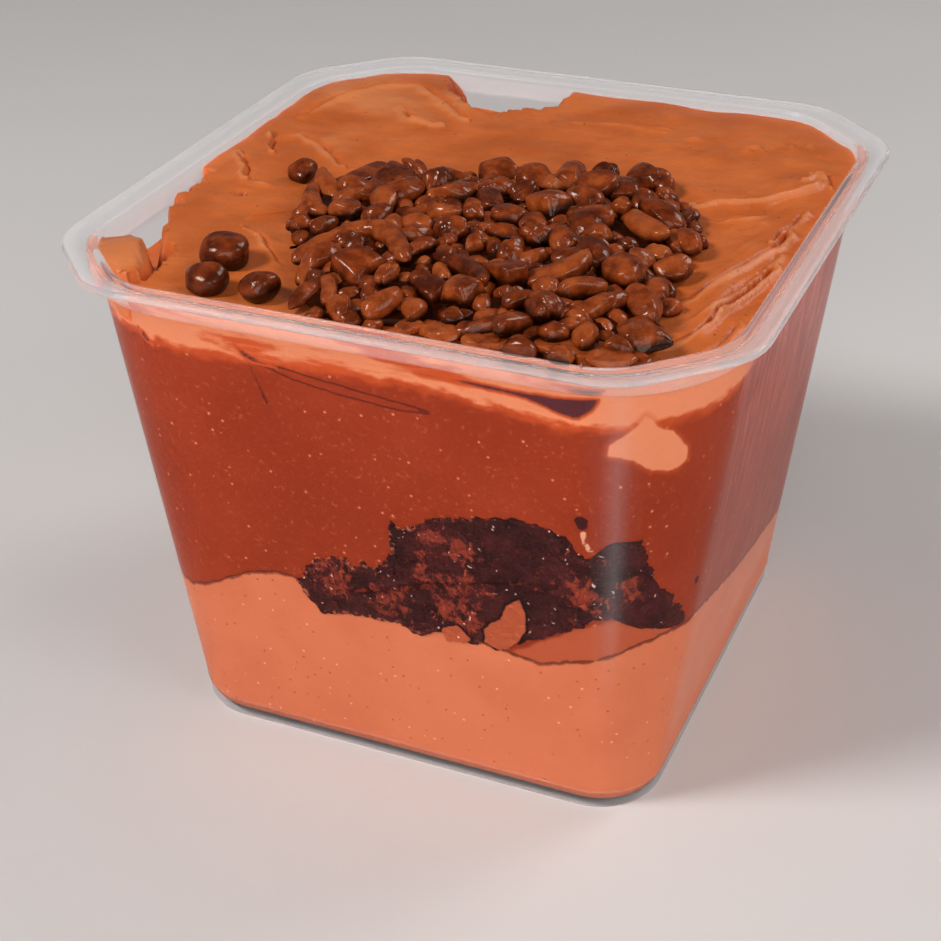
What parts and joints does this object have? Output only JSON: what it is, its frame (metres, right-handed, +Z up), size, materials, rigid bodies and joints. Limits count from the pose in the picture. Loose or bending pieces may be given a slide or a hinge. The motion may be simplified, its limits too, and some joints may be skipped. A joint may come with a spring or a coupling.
{
  "type": "chocolate mousse brownie cup",
  "caption": "Square clear cup filled with layers of light and dark chocolate mousse and crumbled brownie, topped with a heap of glossy chocolate pieces.",
  "frame": {"origin": "centre of the cup's base, on the surface it stands on", "axes": "+Z up, the wide front in the picture faces -Y, the face at its right faces +X"},
  "size_m": [0.1032, 0.1032, 0.0845],
  "materials": {
    "clear_plastic": "clear, thin and glossy moulded plastic",
    "light_mousse": "light milk-chocolate mousse pressed against the wall",
    "brownie": "moist dark brownie crumb with glossy specks",
    "dark_mousse": "dense dark chocolate mousse pressed against the wall",
    "spread_mousse": "spread mousse with spatula strokes, soft sheen",
    "glossy_chocolate": "glossy coated chocolate pieces"
  },
  "bodies": {
    "root": {"cup": "clear_plastic", "mousse_light": "light_mousse", "brownie": "brownie", "mousse_dark": "dark_mousse", "mousse_top": "spread_mousse", "chocolate_heap": "glossy_chocolate", "chocolate_lump_1": "glossy_chocolate", "chocolate_lump_2": "glossy_chocolate", "chocolate_lump_3": "glossy_chocolate"}
  },
  "joints": []
}
